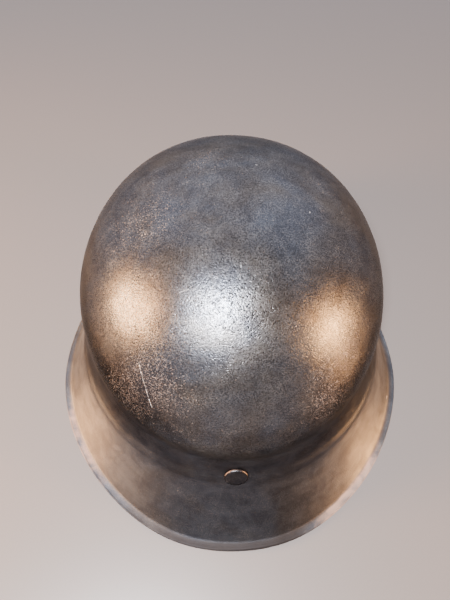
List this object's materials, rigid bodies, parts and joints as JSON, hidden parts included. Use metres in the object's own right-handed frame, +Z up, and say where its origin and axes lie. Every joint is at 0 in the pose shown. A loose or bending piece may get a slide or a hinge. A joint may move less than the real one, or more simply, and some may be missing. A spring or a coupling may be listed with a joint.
{
  "type": "air raid helmet",
  "caption": "Pressed steel air raid helmet: domed crown, raised bead round its foot, peak and flared neck skirt with an out-turned rim.",
  "frame": {"origin": "on the surface that the rim rests on, under the middle of the helmet's length and width", "axes": "+Z up through the crown, +Y towards the neck skirt, so the peak looks along -Y and the wearer's left is +X"},
  "size_m": [0.249, 0.283, 0.1585],
  "materials": {
    "painted_steel": "dark blue-black semi-gloss paint, finely pitted, with brown rust and a worn rim",
    "rivet_steel": "the same dark paint, rubbed to bare steel on its upper edge"
  },
  "bodies": {
    "root": {"shell": "painted_steel", "back_rivet": "rivet_steel", "left_rivet": "rivet_steel", "right_rivet": "rivet_steel"}
  },
  "joints": []
}
